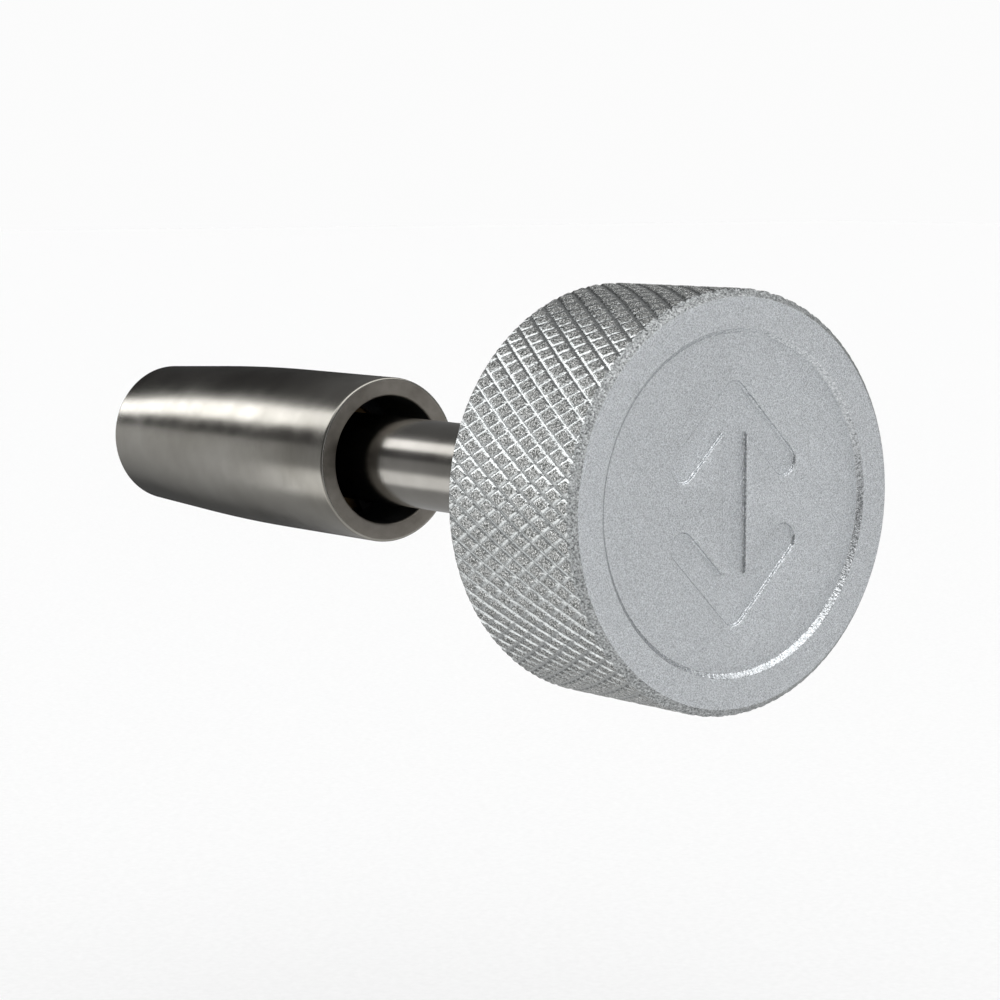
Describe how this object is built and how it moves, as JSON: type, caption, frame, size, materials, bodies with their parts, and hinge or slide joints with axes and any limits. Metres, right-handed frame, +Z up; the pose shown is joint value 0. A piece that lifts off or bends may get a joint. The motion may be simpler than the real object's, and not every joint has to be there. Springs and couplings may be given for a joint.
{
  "type": "spring plunger",
  "caption": "Weld-on retractable pull pin: a sprung round pin in a steel barrel, drawn back by a large knurled aluminium knob with a dished face and an engraved double arrow.",
  "frame": {"origin": "centre of the barrel's front face, the face that is welded to the frame", "axes": "+Y along the pin and out through its nose, +Z up, +X to the right when the knob's face is looked at"},
  "size_m": [0.0508, 0.134, 0.0508],
  "materials": {
    "barrel_steel": "turned",
    "pin_steel": "ground",
    "seat_steel": "turned",
    "spring_steel": "drawn wire",
    "ring_steel": "phosphated",
    "bush_bronze": "sintered",
    "knob_aluminium": "bead blasted face, cut knurl"
  },
  "bodies": {
    "barrel": {"barrel": "barrel_steel", "rear_bush": "bush_bronze", "bore_ring": "ring_steel", "spring": "spring_steel"},
    "spring_seat": {"spring_seat": "seat_steel"},
    "plunger": {"pin": "pin_steel", "pin_ring": "ring_steel", "knob": "knob_aluminium"}
  },
  "joints": [
    {"name": "pull_slide", "type": "slide", "parent": "barrel", "child": "spring_seat", "axis": [0, -1, 0], "range_m": [0, 0.01], "stiffness_N_per_m": 3600, "springref_m": -0.0075, "deforming": ["spring"]},
    {"name": "knob_spin", "type": "hinge", "parent": "spring_seat", "child": "plunger", "pos_m": [0, 0, 0], "axis": [0, 1, 0], "continuous": true}
  ]
}
